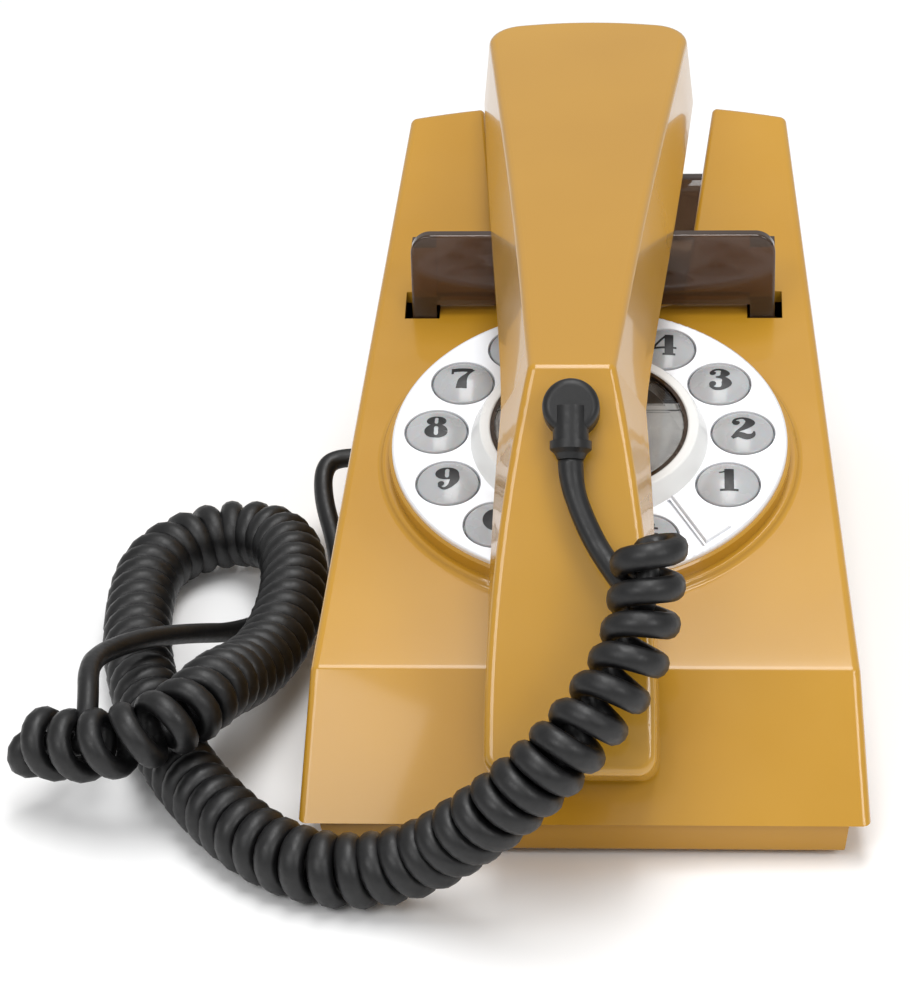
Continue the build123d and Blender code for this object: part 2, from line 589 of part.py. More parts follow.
def end_corners(solid, at_ear):
    """The two corners where the side walls meet one of the ends."""
    chosen = []
    for edge in solid.edges():
        middle = edge @ 0.5
        upright = abs((edge % 0.5).X) < 0.5 and abs(middle.X) > 10
        ear = middle.Y > 95 and abs((edge % 0.5).Z) > 0.7
        mouth = (middle - Vector(0, *KNEE_OUT)).dot(DOWN) > LOWER_LENGTH - 0.1
        if upright and (ear if at_ear else mouth):
            chosen.append(edge)
    return chosen


def make_handset_solid():
    solid = handset_body(0)
    solid = try_fillet(solid, end_corners(solid, True), [EAR_CORNER_RADIUS, 6.5, 5.0])
    solid = try_fillet(solid, end_corners(solid, False), [MOUTH_CORNER_RADIUS, 2.5])
    rims = [e for e in solid.edges() if side_view_edge(e)]
    return try_fillet(solid, rims, [1.8, 1.4, 1.0, 0.7])


def upper_in_z(y):
    return KNEE_IN[1] + (y - KNEE_IN[0]) * UPPER_IN_SLOPE


def upper_out_z(y):
    return KNEE_OUT[1] + (y - KNEE_OUT[0]) * UPPER_OUT_SLOPE


IN_ANGLE = math.atan(UPPER_IN_SLOPE)
EAR = Plane(origin=(0, EARPIECE_Y, upper_in_z(EARPIECE_Y)), x_dir=(1, 0, 0),
            z_dir=(0, math.sin(IN_ANGLE), -math.cos(IN_ANGLE)))
MOUTH_ALONG = 62.0            # the mouthpiece's distance from the bend, along the inner face
inner_run = Vector(0, *inner_point(LOWER_LENGTH)) - Vector(0, *KNEE_IN)
inner_run = inner_run.normalized()
mouth_place = Vector(0, *KNEE_IN) + inner_run * (MOUTH_ALONG - 14)
MOUTH = Plane(origin=mouth_place, x_dir=(1, 0, 0), z_dir=(0, -inner_run.Z, inner_run.Y))
HANDSET_SCREWS = [("front", -22.0), ("rear", 47.0)]


def make_handset_shells():
    whole = make_handset_solid()
    band = cover_band(HANDSET_COVER)
    outer = whole - band - handset_body(HANDSET_WALL)
    inner = whole & band
    for name, y in HANDSET_SCREWS:
        boss = post(0, y, upper_in_z(y) + HANDSET_COVER + 0.2, upper_out_z(y) - 1.0, 3.2)
        outer = outer + (boss - post(0, y, upper_in_z(y), upper_in_z(y) + 11, 0.9))
        inner = inner - post(0, y, upper_in_z(y) - 2, upper_in_z(y) + 6, 1.2)
        inner = inner - post(0, y, upper_in_z(y) - 2, upper_in_z(y) + 1.8, 2.8)
    inner = inner - EAR.location * Cylinder(15.0, 20)
    inner = inner - MOUTH.location * Cylinder(9.6, 20)
    outer = outer - GROMMET.location * Cylinder(3.5, 10)
    return outer, inner


def sound_holes(ring_radius, count, hole_radius):
    """One hole in the middle and a ring of holes round it."""
    holes = Cylinder(hole_radius, 60)
    for index in range(count):
        angle = 2 * math.pi * index / count
        place = Pos(ring_radius * math.cos(angle), ring_radius * math.sin(angle), 0)
        holes = holes + place * Cylinder(hole_radius, 60)
    return holes


GROMMET_DOWN = 9.0            # middle of the grommet below the bend, on the outer face
GROMMET_RADIUS, GROMMET_HEIGHT = 5.6, 6.6
EXIT_OFF_FACE = 4.3           # the cord leaves parallel to the face, this far off it
grommet_place = Vector(0, *KNEE_OUT) + DOWN * GROMMET_DOWN
GROMMET = Plane(origin=grommet_place, x_dir=(1, 0, 0), z_dir=OUT)
EXIT = Plane(origin=grommet_place + OUT * EXIT_OFF_FACE, x_dir=(1, 0, 0), z_dir=DOWN)


def keep_handset(name, shape):
    """Store one piece of the handset, which rests a little off the middle."""
    return keep(name, Pos(HANDSET_X, 0, 0) * shape)


outer_shell, inner_shell = make_handset_shells()
keep_handset("handset_outer_shell", outer_shell)
keep_handset("handset_inner_shell", inner_shell)
ear_cup = turned([(13.4, -2.9), (14.8, -2.9), (14.8, 0), (EARPIECE_RADIUS, 0), (EARPIECE_RADIUS - 1.4, 11.0),
                  (15.6, 12.4), (0, 12.4), (0, 10.4), (13.4, 10.4)])
keep_handset("earpiece_cap", EAR.location * (ear_cup - sound_holes(6.5, 6, 1.2)))
keep_handset("receiver", EAR.location * Pos(0, 0, -5.9) * Cylinder(13.6, 5.6))
mouth_cup = turned([(8.0, -2.9), (9.4, -2.9), (9.4, 0), (11.0, 0), (10.3, 1.3), (0, 1.3), (0, 0.1),
                    (8.0, 0.1)])
keep_handset("mouthpiece_cap", MOUTH.location * (mouth_cup - sound_holes(4.5, 6, 0.9)))
keep_handset("microphone", MOUTH.location * Pos(0, 0, -5.6) * Cylinder(5.0, 5.0))
for name, y in HANDSET_SCREWS:
    z = upper_in_z(y)
    screw = post(0, y, z + 0.6, z + 1.8, 2.6) + post(0, y, z + 1.8, z + 9.5, 0.85)
    driver_slot = box_between((-1.8, y - 0.35, z + 0.5), (1.8, y + 0.35, z + 1.2))
    keep_handset("handset_screw_" + name, screw - driver_slot)

grommet = Pos(0, 0, GROMMET_HEIGHT / 2) * Cylinder(GROMMET_RADIUS, GROMMET_HEIGHT)
grommet = fillet(grommet.edges().filter_by(GeomType.CIRCLE).sort_by(Axis.Z)[-1], 1.6)
grommet = GROMMET.location * (grommet + Pos(0, 0, -1.4) * Cylinder(3.3, 2.8))
keep_handset("cord_grommet", grommet + EXIT.location * Pos(0, 0, 3.4) * Cylinder(3.5, 6.8))
collar_profile = [(0, 6.8), (4.1, 6.8), (4.1, 8.4), (3.2, 9.2), (2.6, 10.4), (0, 10.4)]
keep_handset("cord_collar", EXIT.location * turned(collar_profile))


# ---------------------------------------------------------------- cord
def route_path(points, label):
    """Runs joined by the largest tangent arcs that they have room for."""
    places = [Vector(*p) for p in points]
    radii = []
    for before, here, after in zip(places, places[1:], places[2:]):
        first = here - before
        second = after - here
        turn = math.radians(first.get_angle(second))
        radii.append(0.45 * min(first.length, second.length) / math.tan(turn / 2))
    print(label, "radii", [round(r, 1) for r in radii])
    return FilletPolyline(*places, radius=radii)


def tube(points, diameter, label):
    path = route_path(points, label)
    solid = sweep(Plane(origin=path @ 0, z_dir=path % 0) * Circle(diameter / 2), path=path)
    ideal = math.pi * diameter**2 / 4 * path.length
    print(label, "length", round(path.length, 1), "volume / ideal", round(solid.volume / ideal, 4))
    return solid


PLUG_OUTER_X, PLUG_STEP_X, PLUG_NOSE_X = -54.85, -51.45, -39.25
lead_start = grommet_place + OUT * EXIT_OFF_FACE + DOWN * 10.4
def laid(points):
    """The route's points where the loose coil lies on the table."""
    return [(x + COIL_SHIFT_X, y + COIL_SHIFT_Y, z) for x, y, z in points]


lead_top = [
    (HANDSET_X, lead_start.Y, lead_start.Z),
    (HANDSET_X, lead_start.Y + 4.2 * DOWN.Y, lead_start.Z + 4.2 * DOWN.Z),
    (0.5, -80.2, 69.8),
    (4.2, -84.6, 64.2),
    (9.2, -89.3, 59.6),
]
coil_hanging = [
    (13.2, -89.2, 69.6),
    (12.8, -94.4, 60.4),
    (10.2, -101.8, 52.0),
    (4.2, -108.4, 45.0),
    (-4.0, -114.6, 37.2),
    (-15.3, -116.3, 26.7),
    (-22.3, -113.85, 19.85),
]
coil_floor = laid([
    (-21.6, -110.15, 19.85),
    (-28.6, -107.7, 13.0),
    (-39.8, -106.0, 8.0),
    (-51.5, -104.6, 7.5),
    (-63.5, -96.4, 7.5),
    (-75.0, -81.0, 7.5),
    (-84.5, -63.0, 7.5),
    (-92.4, -41.0, 7.5),
    (-97.6, -18.0, 7.5),
    (-99.2, 3.0, 7.6),
    (-98.3, 17.0, 7.8),
    (-92.5, 26.5, 8.2),
    (-82.0, 31.0, 9.0),
    (-72.5, 27.0, 10.5),
    (-67.0, 17.0, 12.2),
    (-64.4, 3.0, 12.9),
    (-64.6, -13.0, 12.6),
    (-67.2, -30.0, 13.0),
    (-71.2, -46.0, 17.0),
    (-74.6, -59.0, 22.4),
    (-78.6, -71.0, 23.6),
    (-85.8, -77.6, 22.6),
    (-95.0, -78.2, 19.6),
    (-104.2, -74.0, 16.6),
    (-112.5, -68.8, 14.6),
])
lead_end = laid([
    (-99.0, -74.5, 20.0),
    (-99.6, -69.5, 25.6),
    (-101.0, -59.0, 26.6),
    (-99.6, -48.0, 23.6),
    (-92.6, -36.5, 20.4),
    (-84.6, -22.0, 13.2),
    (-77.0, -8.0, 5.2),
]) + [
    (-68.8, 0.5, 2.7),
    (-60.2, 8.6, 2.6),
    (-57.2, 17.5, 3.8),
    (-59.0, 27.0, 7.6),
    (-62.0, 35.5, 12.6),
    (-62.6, 42.6, 16.8),
    (-60.0, SOCKET_Y, SOCKET_Z),
    (PLUG_OUTER_X, SOCKET_Y, SOCKET_Z),
]
keep("cord_lead_top", tube(lead_top, LEAD_DIAMETER, "lead_top"))
keep("cord_coil_hanging", tube(coil_hanging, COIL_DIAMETER, "coil_hanging"))
keep("cord_coil_floor", tube(coil_floor, COIL_DIAMETER, "coil_floor"))
keep("cord_lead_end", tube(lead_end, LEAD_DIAMETER, "lead_end"))
plug_body = box_between((PLUG_STEP_X, -3.8, -3.3), (PLUG_NOSE_X, 3.8, 3.3))
sleeve = box_between((PLUG_OUTER_X, -3.2, -2.9), (PLUG_STEP_X, 3.2, 2.9))
catch = box_between((-53.25, -1.5, -4.6), (-42.25, 1.5, -3.3))
keep("cord_plug", Pos(0, SOCKET_Y, SOCKET_Z) * (plug_body + sleeve + catch))

# ---------------------------------------------------------------- write the sub-parts
os.makedirs("parts", exist_ok=True)
for name, shape in NODES.items():
    shape = Compound(children=list(shape.solids())) if len(shape.solids()) > 1 else shape.solids()[0]
    export_step(shape, "parts/" + name + ".step")
print(len(NODES), "nodes")
whole = Compound(children=[Compound(shape.solids()) for name, shape in NODES.items() if "cord" not in name])
bounds = whole.bounding_box()
print("box without the cord", bounds.min, bounds.max)
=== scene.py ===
import json
import math
import bpy
from mathutils import Vector, Matrix


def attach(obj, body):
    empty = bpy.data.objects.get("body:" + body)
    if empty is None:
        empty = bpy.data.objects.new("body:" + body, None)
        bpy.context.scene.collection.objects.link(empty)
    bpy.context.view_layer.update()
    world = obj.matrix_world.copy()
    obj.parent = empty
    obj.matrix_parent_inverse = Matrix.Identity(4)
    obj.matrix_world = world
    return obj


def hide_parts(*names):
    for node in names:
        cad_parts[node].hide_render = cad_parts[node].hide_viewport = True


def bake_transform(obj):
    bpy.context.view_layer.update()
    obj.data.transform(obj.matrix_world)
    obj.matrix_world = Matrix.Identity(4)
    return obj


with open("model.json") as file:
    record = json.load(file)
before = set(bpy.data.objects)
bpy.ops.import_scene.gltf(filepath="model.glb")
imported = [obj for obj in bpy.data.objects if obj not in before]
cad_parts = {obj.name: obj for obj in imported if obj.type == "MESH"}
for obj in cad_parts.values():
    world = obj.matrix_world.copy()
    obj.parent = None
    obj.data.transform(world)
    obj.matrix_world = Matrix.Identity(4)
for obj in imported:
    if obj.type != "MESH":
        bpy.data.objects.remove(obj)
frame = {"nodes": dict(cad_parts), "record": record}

# Slimline telephone: looks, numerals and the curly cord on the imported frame.  Metres, +Z up.
MM = 0.001
TO_CENTRE = Vector((0, -3.1, 0)) * MM    # from the layout's own axes to the row's origin
HANDSET_X = -2.2                         # the handset rests a little to the left, in mm
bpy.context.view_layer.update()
nodes = frame["nodes"]


# ---------------------------------------------------------------- materials
def srgb(red, green, blue):
    """Linear colour from 0-255 display values."""
    linear = []
    for value in (red, green, blue):
        linear.append(((value / 255 + 0.055) / 1.055) ** 2.4 if value > 10 else value / 255 / 12.92)
    return linear + [1.0]


class Paint:
    """A small builder for one node material."""

    def __init__(self, name):
        self.material = bpy.data.materials.new(name)
        self.material.use_nodes = True
        self.tree = self.material.node_tree
        self.shader = self.tree.nodes["Principled BSDF"]
        self.place = self.node("ShaderNodeTexCoord").outputs["Object"]

    def node(self, kind, **settings):
        made = self.tree.nodes.new(kind)
        for key, value in settings.items():
            setattr(made, key, value)
        return made

    def link(self, source, target):
        self.tree.links.new(source, target)

    def set(self, **values):
        for key, value in values.items():
            self.shader.inputs[key.replace("_", " ")].default_value = value
        return self

    def noise(self, scale, detail=3.0, rough=0.5):
        texture = self.node("ShaderNodeTexNoise")
        texture.inputs["Scale"].default_value = scale
        texture.inputs["Detail"].default_value = detail
        texture.inputs["Roughness"].default_value = rough
        self.link(self.place, texture.inputs["Vector"])
        return texture.outputs["Fac"]

    def ramp(self, factor, low, high, start=0.35, end=0.65):
        """Colour that runs from low to high as factor goes from start to end."""
        ramp = self.node("ShaderNodeValToRGB")
        ramp.color_ramp.elements[0].position = start
        ramp.color_ramp.elements[0].color = low
        ramp.color_ramp.elements[1].position = end
        ramp.color_ramp.elements[1].color = high
        self.link(factor, ramp.inputs["Fac"])
        return ramp.outputs["Color"]

    def span(self, factor, low, high, start=0.3, end=0.7):
        """Number that runs from low to high as factor goes from start to end."""
        span = self.node("ShaderNodeMapRange")
        span.inputs["From Min"].default_value = start
        span.inputs["From Max"].default_value = end
        span.inputs["To Min"].default_value = low
        span.inputs["To Max"].default_value = high
        self.link(factor, span.inputs["Value"])
        return span.outputs["Result"]

    def mottle(self, low, high, scale):
        self.link(self.ramp(self.noise(scale), low, high), self.shader.inputs["Base Color"])
        return self

    def rough(self, low, high, scale):
        self.link(self.span(self.noise(scale), low, high), self.shader.inputs["Roughness"])
        return self

    def bump(self, scale, strength, distance=0.0001, detail=2.0):
        bump = self.node("ShaderNodeBump")
        bump.inputs["Strength"].default_value = strength
        bump.inputs["Distance"].default_value = distance
        self.link(self.noise(scale, detail), bump.inputs["Height"])
        self.link(bump.outputs["Normal"], self.shader.inputs["Normal"])
        return self


def moulded(name, low, high, rough_low, rough_high, coat=0.0):
    """Injection-moulded plastic: slow colour drift, fine orange peel, uneven gloss."""
    paint = Paint(name).mottle(low, high, 14).rough(rough_low, rough_high, 60).bump(900, 0.05)
    return paint.set(Coat_Weight=coat, Coat_Roughness=0.04, IOR=1.5)


def case_plastic():
    return moulded("mustard_plastic", srgb(180, 132, 33), srgb(187, 139, 38), 0.2, 0.27, 0.5).material


def base_plastic():
    return moulded("ochre_plastic", srgb(170, 122, 29), srgb(177, 129, 33), 0.3, 0.38, 0.2).material


def silver_plate():
    paint = Paint("silver_plate").mottle(srgb(232, 234, 238), srgb(240, 241, 244), 40)
    paint.rough(0.34, 0.42, 300).bump(1500, 0.08)
    return paint.set(Metallic=0.35, Coat_Weight=0.2, Coat_Roughness=0.2).material


def key_plastic():
    paint = Paint("grey_key_plastic").mottle(srgb(168, 170, 172), srgb(178, 179, 181), 80)
    paint.rough(0.22, 0.3, 200).bump(1200, 0.04)
    paint.set(Subsurface_Weight=0.25, Subsurface_Scale=0.002)
    return paint.set(Coat_Weight=0.3, Coat_Roughness=0.1).material


def smoked_plastic():
    paint = Paint("smoked_plastic").mottle(srgb(96, 74, 57), srgb(106, 82, 63), 30)
    paint.rough(0.06, 0.1, 120).bump(700, 0.03)
    return paint.set(Transmission_Weight=0.7, IOR=1.49).material


CARD_FIELD_START, CARD_FIELD_EDGE = 4.9 * MM, 0.1 * MM
CARD_RULE_PLACE, CARD_RULE_HALF = 2.9 * MM, 0.2 * MM


def card():
    """White card with a grey printed field above and a thin rule below it."""
    paint = Paint("printed_card")
    split = paint.node("ShaderNodeSeparateXYZ")
    paint.link(paint.place, split.inputs["Vector"])
    up = paint.node("ShaderNodeMath", operation="SUBTRACT")
    paint.link(split.outputs["Y"], up.inputs[0])
    up.inputs[1].default_value = DIAL_ORIGIN.y
    field = paint.span(up.outputs["Value"], 0.0, 1.0, CARD_FIELD_START, CARD_FIELD_START + CARD_FIELD_EDGE)
    rule = paint.node("ShaderNodeMath", operation="COMPARE")
    paint.link(up.outputs["Value"], rule.inputs[0])
    rule.inputs[1].default_value = CARD_RULE_PLACE
    rule.inputs[2].default_value = CARD_RULE_HALF
    both = paint.node("ShaderNodeMath", operation="MAXIMUM")
    paint.link(field, both.inputs[0])
    paint.link(rule.outputs["Value"], both.inputs[1])
    mix = paint.node("ShaderNodeMix", data_type="RGBA")
    paint.link(both.outputs["Value"], mix.inputs["Factor"])
    paint.link(paint.ramp(paint.noise(900), srgb(238, 238, 236), srgb(246, 246, 244)), mix.inputs["A"])
    paint.link(paint.ramp(paint.noise(900), srgb(70, 71, 74), srgb(80, 81, 84)), mix.inputs["B"])
    paint.link(mix.outputs["Result"], paint.shader.inputs["Base Color"])
    paint.rough(0.6, 0.75, 600).bump(2500, 0.1)
    return paint.material


def simple(name, low, high, scale, rough_low, rough_high, bump_scale, bump_strength, **values):
    paint = Paint(name).mottle(low, high, scale).rough(rough_low, rough_high, scale * 3)
    return paint.bump(bump_scale, bump_strength).set(**values).material


SLOPE = math.radians(15.616)
DIAL_ORIGIN = Vector((0, -13.98, 49.61)) * MM + TO_CENTRE
DIAL_U = Vector((1, 0, 0))
DIAL_V = Vector((0, math.cos(SLOPE), math.sin(SLOPE)))
DIAL_W = Vector((0, -math.sin(SLOPE), math.cos(SLOPE)))

FINISHES = {
    "case_plastic": case_plastic(),
    "base_plastic": base_plastic(),
    "foot_rubber": simple("foot_rubber", srgb(30, 30, 30), srgb(44, 44, 44), 200, 0.7, 0.85, 1500, 0.3),
    "zinc_steel": simple("zinc_steel", srgb(168, 168, 164), srgb(196, 196, 190), 300, 0.28, 0.4, 2000,
                         0.1, Metallic=1.0),
    "ballast_iron": simple("ballast_iron", srgb(40, 40, 42), srgb(60, 58, 56), 90, 0.6, 0.8, 500, 0.4,
                           Metallic=0.6),
    "circuit_board": simple("circuit_board", srgb(20, 84, 46), srgb(30, 104, 58), 150, 0.3, 0.45, 900,
                            0.15),
    "black_plastic": simple("black_plastic", srgb(24, 24, 24), srgb(34, 34, 34), 100, 0.35, 0.5, 1100,
                            0.15),
    "clear_grey_plastic": simple("clear_grey_plastic", srgb(120, 120, 120), srgb(140, 140, 138), 80,
                                 0.1, 0.18,
                                 900, 0.03, Transmission_Weight=0.5, IOR=1.5),
    "smoked_plastic": smoked_plastic(),
    "spring_steel": simple("spring_steel", srgb(180, 180, 180), srgb(205, 205, 202), 500, 0.2, 0.3,
                           3000, 0.1, Metallic=1.0),
    "silver_plate": silver_plate(),
    "collar_plastic": moulded("white_plastic", srgb(232, 232, 230), srgb(240, 240, 238), 0.2, 0.28,
                              0.3).material,
    "card": card(),
    "clear_plastic": simple("clear_cover", srgb(246, 246, 246), srgb(250, 250, 250), 60, 0.03, 0.06,
                            500, 0.02,
                            Transmission_Weight=1.0, IOR=1.45),
    "membrane_rubber": simple("membrane_rubber", srgb(60, 60, 60), srgb(76, 76, 76), 120, 0.6, 0.75,
                              1400, 0.2),
    "microphone_metal": simple("microphone_metal", srgb(190, 190, 190), srgb(210, 210, 208), 200, 0.25,
                               0.35, 1500, 0.1,
                               Metallic=1.0),
    "cord_rubber": simple("cord_rubber", srgb(8, 8, 9), srgb(14, 14, 15), 220, 0.38, 0.52, 1600, 0.25),
    "key_plastic": key_plastic(),
}
INK = simple("black_ink", srgb(20, 20, 22), srgb(32, 32, 34), 400, 0.4, 0.5, 2500, 0.05)


for part in frame["record"]["subparts"]:
    node = nodes[part["node"]]
    for index in range(max(1, len(node.material_slots))):
        if not node.material_slots:
            node.data.materials.append(FINISHES[part["material_slot"]])
        else:
            node.material_slots[index].material = FINISHES[part["material_slot"]]


def mesh_object(name, points, faces, material, smooth=True):
    mesh = bpy.data.meshes.new(name)
    mesh.from_pydata([tuple(p) for p in points], [], faces)
    for polygon in mesh.polygons:
        polygon.use_smooth = smooth
    mesh.materials.append(material)
    obj = bpy.data.objects.new(name, mesh)
    bpy.context.collection.objects.link(obj)
    return obj


# ---------------------------------------------------------------- numerals on the keys
# Each stroke is a list of (x, y, half width) in units of the numeral's height, upright.
def oval(cx, cy, rx, ry, thick, thin):
    """Closed ring with heavy sides and a light top and bottom."""
    ring = []
    for step in range(33):
        angle = 2 * math.pi * step / 32
        half = thin + (thick - thin) * abs(math.cos(angle)) ** 1.6
        ring.append((cx + rx * math.cos(angle), cy + ry * math.sin(angle), half))
    return ring


def dot(x, y, radius):
    """Round ball at the end of a stroke, as a short ribbon with round ends."""
    steps = [-1.0, -0.92, -0.7, -0.35, 0.0, 0.35, 0.7, 0.92, 1.0]
    return [(x + radius * s, y, radius * math.sqrt(1 - s * s)) for s in steps]


def curve(*points):
    """Smooth stroke through the points."""
    made = []
    ends = [points[0]] + list(points) + [points[-1]]
    for before, a, b, after in zip(ends, ends[1:], ends[2:], ends[3:]):
        for step in range(6):
            t = step / 6
            made.append(tuple(
                0.5 * (2 * q + (r - p) * t + (2 * p - 5 * q + 4 * r - s) * t**2
                       + (3 * q - p - 3 * r + s) * t**3)
                for p, q, r, s in zip(before, a, b, after)))
    return made + [points[-1]]


def line(x0, y0, x1, y1, half):
    return [(x0, y0, half), (x1, y1, half)]


GLYPHS = {
    "one": [line(0.03, -0.48, 0.03, 0.5, 0.115),
            curve((0.03, 0.45, 0.05), (-0.1, 0.34, 0.035), (-0.24, 0.31, 0.03)),
            line(-0.22, -0.47, 0.28, -0.47, 0.035)],
    "two": [curve((-0.27, 0.2, 0.03), (-0.2, 0.4, 0.05), (0.02, 0.46, 0.05), (0.2, 0.26, 0.12),
                  (0.08, 0.0, 0.09),
                  (-0.16, -0.22, 0.04), (-0.29, -0.42, 0.03)),
            curve((-0.3, -0.44, 0.05), (-0.12, -0.34, 0.09), (0.1, -0.42, 0.1), (0.27, -0.34, 0.06),
                  (0.31, -0.18, 0.02)),
            dot(-0.18, 0.2, 0.1)],
    "three": [curve((-0.25, 0.3, 0.03), (-0.1, 0.45, 0.05), (0.08, 0.43, 0.06), (0.16, 0.25, 0.12),
                    (0.06, 0.07, 0.06),
                    (-0.1, 0.03, 0.03)),
              curve((-0.08, 0.03, 0.03), (0.12, -0.02, 0.07), (0.2, -0.22, 0.13), (0.08, -0.44, 0.06),
                    (-0.12, -0.46, 0.05), (-0.27, -0.32, 0.03)),
              dot(-0.18, 0.25, 0.09), dot(-0.19, -0.26, 0.1)],
    "four": [line(0.12, -0.48, 0.12, 0.5, 0.11), line(0.06, 0.46, -0.32, -0.18, 0.035),
             line(-0.35, -0.2, 0.33, -0.2, 0.04), line(-0.06, -0.47, 0.3, -0.47, 0.035)],
    "five": [line(-0.2, 0.41, 0.26, 0.41, 0.085), line(-0.2, 0.48, -0.22, 0.0, 0.03),
             curve((-0.22, 0.0, 0.03), (-0.02, 0.13, 0.05), (0.17, 0.03, 0.11), (0.19, -0.22, 0.13),
                   (0.04, -0.45, 0.06), (-0.14, -0.46, 0.05), (-0.27, -0.32, 0.03)),
             dot(-0.19, -0.26, 0.1)],
    "six": [oval(0.02, -0.2, 0.19, 0.27, 0.12, 0.035),
            curve((-0.17, -0.2, 0.12), (-0.19, 0.1, 0.11), (-0.06, 0.38, 0.06), (0.1, 0.47, 0.04),
                  (0.24, 0.34, 0.03)),
            dot(0.17, 0.28, 0.09)],
    "seven": [line(-0.27, 0.39, 0.26, 0.39, 0.095), line(-0.29, 0.5, -0.29, 0.18, 0.03),
              curve((0.28, 0.44, 0.05), (0.12, 0.14, 0.05), (0.0, -0.14, 0.11), (-0.03, -0.48, 0.14))],
    "eight": [oval(0, 0.25, 0.16, 0.21, 0.1, 0.035), oval(0, -0.22, 0.19, 0.24, 0.12, 0.04)],
    "nine": [oval(-0.02, 0.2, 0.19, 0.27, 0.12, 0.035),
             curve((0.17, 0.2, 0.12), (0.19, -0.1, 0.11), (0.06, -0.38, 0.06), (-0.1, -0.47, 0.04),
                   (-0.24, -0.34, 0.03)),
             dot(-0.17, -0.28, 0.09)],
    "zero": [oval(0, 0, 0.2, 0.45, 0.13, 0.035)],
    "star": [line(0.0, -0.3, 0.0, 0.3, 0.05), line(-0.26, -0.15, 0.26, 0.15, 0.05),
             line(-0.26, 0.15, 0.26, -0.15, 0.05)],
    "hash": [line(-0.17, -0.36, -0.07, 0.36, 0.045), line(0.07, -0.36, 0.17, 0.36, 0.045),
             line(-0.3, 0.13, 0.3, 0.13, 0.045), line(-0.3, -0.13, 0.3, -0.13, 0.045)],
}
NUMERAL_HEIGHT = 6.5 * MM
NUMERAL_WIDTH = 1.18           # wider than the strokes are drawn
NUMERAL_WEIGHT = 1.12          # and bolder
KEY_CIRCLE_RADIUS = 32.3 * MM
KEY_STEP_DEGREES = 28.95
KEY_FIVE_DEGREES = 89.7
KEY_RADIUS, KEY_DOME = 6.4 * MM, 1.8 * MM
PLATE_TOP = 5.5 * MM
DOME_RADIUS = (KEY_RADIUS**2 + KEY_DOME**2) / (2 * KEY_DOME)
INK_LIFT = 0.03 * MM


def key_centre(name):
    """Middle of a key in the dial's axes: the keys stand evenly round a circle, five at the top."""
    angle = math.radians(KEY_FIVE_DEGREES + (list(GLYPHS).index(name) - 4) * KEY_STEP_DEGREES)
    return KEY_CIRCLE_RADIUS * math.cos(angle), KEY_CIRCLE_RADIUS * math.sin(angle)


def on_dome(centre, x, y, lift):
    """A point of the key's domed top."""
    depth = DOME_RADIUS - math.sqrt(DOME_RADIUS**2 - x * x - y * y)
    height = PLATE_TOP + KEY_DOME - depth + lift
    return DIAL_ORIGIN + DIAL_U * (centre[0] + x) + DIAL_V * (centre[1] + y) + DIAL_W * height


def make_numeral(name):
    centre = key_centre(name)
    points, faces = [], []
    for layer, stroke in enumerate(GLYPHS[name]):
        dense = []
        for a, b in zip(stroke, stroke[1:]):
            parts = 6 if len(stroke) == 2 else 1
            dense += [tuple(p + (q - p) * k / parts for p, q in zip(a, b)) for k in range(parts)]
        dense.append(stroke[-1])
        for index, (x, y, half) in enumerate(dense):
            before = dense[max(0, index - 1)]
            after = dense[min(len(dense) - 1, index + 1)]
            along = Vector((after[0] - before[0], after[1] - before[1])).normalized()
            for side in (-1, 0, 1):
                reach = half * side * NUMERAL_WEIGHT
                px = (x - along.y * reach) * NUMERAL_HEIGHT * NUMERAL_WIDTH
                py = (y + along.x * reach) * NUMERAL_HEIGHT
                points.append(on_dome(centre, px, py, INK_LIFT + layer * 0.004 * MM))
            if index:
                first = len(points) - 6
                for k in (0, 1):
                    faces.append((first + k + 1, first + k, first + k + 3, first + k + 4))
    obj = mesh_object("numeral_" + name, points, faces, INK)
    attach(obj, "button_" + name)


for name in GLYPHS:
    make_numeral(name)

# ---------------------------------------------------------------- the cord
WIRE = 4.4 * MM
WIRE_WIDENING = 0.2            # in the coil the wire is flattened, so it is wider along the coil
COIL_OUTSIDE = 15.2 * MM
TURN_RADIUS = (COIL_OUTSIDE - WIRE) / 2
COIL_SHIFT_X, COIL_SHIFT_Y = -0.7, -3.7


def laid(points):
    """The route's points where the loose coil lies on the table."""
    return [(x + COIL_SHIFT_X, y + COIL_SHIFT_Y, z) for x, y, z in points]


LEAD_TOP = [
    (HANDSET_X, -72.45, 78.99), (HANDSET_X, -74.91, 75.58), (0.5, -80.2, 69.8), (4.2, -84.6, 64.2),
    (9.2, -89.3, 59.6),
]
COIL = [
    (13.2, -89.2, 69.6), (12.8, -94.4, 60.4), (10.2, -101.8, 52.0), (4.2, -108.4, 45.0),
    (-4.0, -114.6, 37.2),
    (-15.3, -116.3, 26.7),
] + laid([
    (-21.6, -110.15, 19.85), (-28.6, -107.7, 13.0), (-39.8, -106.0, 8.0),
    (-51.5, -104.6, 7.5), (-63.5, -96.4, 7.5), (-75.0, -81.0, 7.5), (-84.5, -63.0, 7.5),
    (-92.4, -41.0, 7.5),
    (-97.6, -18.0, 7.5), (-99.2, 3.0, 7.6), (-98.3, 17.0, 7.8), (-92.5, 26.5, 8.2), (-82.0, 31.0, 9.0),
    (-72.5, 27.0, 10.5), (-67.0, 17.0, 12.2), (-64.4, 3.0, 12.9), (-64.6, -13.0, 12.6),
    (-67.2, -30.0, 13.0),
    (-71.2, -46.0, 17.0), (-74.6, -59.0, 22.4), (-78.6, -71.0, 23.6), (-85.8, -77.6, 22.6),
    (-95.0, -78.2, 19.6),
    (-104.2, -74.0, 16.6), (-112.5, -68.8, 14.6),
])
